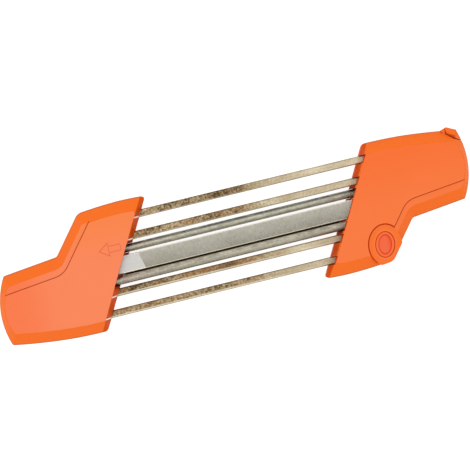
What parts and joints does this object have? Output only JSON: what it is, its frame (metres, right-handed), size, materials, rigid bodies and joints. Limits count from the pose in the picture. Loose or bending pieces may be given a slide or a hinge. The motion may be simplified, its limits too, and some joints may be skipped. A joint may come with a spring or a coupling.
{
  "type": "saw chain file guide",
  "caption": "Hand file guide for saw chains: two slanted orange handles joined by flat guide rods, with round files and a flat file between them; one handle's cover swings aside.",
  "frame": {"origin": "middle of the tool seen from the front, on the plane of the handles' rear faces", "axes": "+X along the files towards the handle with the swing cover, +Y across them, +Z out of the front face"},
  "size_m": [0.3228, 0.083, 0.026],
  "materials": {
    "orange_plastic": "satin moulded orange, fine grain",
    "cap_plastic": "satin moulded orange, slightly redder",
    "seat_plastic": "plain dark grey",
    "rod_zinc": "yellow zinc plating, mottled",
    "round_file_steel": "cut spiral teeth, grey",
    "flat_file_steel": "fine cut teeth, grey, with a bright uncut end",
    "fastener_steel": "bright zinc"
  },
  "bodies": {
    "guide": {"left_rear_shell": "orange_plastic", "left_front_shell": "orange_plastic", "left_shell_screws": "fastener_steel", "left_file_socket": "seat_plastic", "left_rod_pins": "fastener_steel", "right_rear_shell": "orange_plastic", "right_tray": "orange_plastic", "right_shell_screws": "fastener_steel", "right_file_cradle": "seat_plastic", "right_file_saddle": "seat_plastic", "right_rod_pins": "fastener_steel", "pivot_sleeve": "fastener_steel", "pivot_washer": "fastener_steel", "pivot_screw": "fastener_steel", "catch_spring": "fastener_steel", "upper_round_file": "round_file_steel", "lower_round_file": "round_file_steel", "flat_file": "flat_file_steel", "upper_outer_guide_rod": "rod_zinc", "upper_inner_guide_rod": "rod_zinc", "lower_inner_guide_rod": "rod_zinc", "lower_outer_guide_rod": "rod_zinc"},
    "cover": {"right_swing_cover": "orange_plastic", "pivot_cap": "cap_plastic"},
    "catch": {"release_catch": "orange_plastic"}
  },
  "joints": [
    {"name": "cover_swing", "type": "hinge", "parent": "guide", "child": "cover", "pos_m": [0.0942, -0.0277, 0.0205], "axis": [0, 0, 1], "range_deg": [-110, 0]},
    {"name": "catch_press", "type": "slide", "parent": "guide", "child": "catch", "axis": [0, 0, -1], "range_m": [0, 0.002], "stiffness_N_per_m": 600, "springref_m": -0.005, "deforming": ["catch_spring"]}
  ]
}
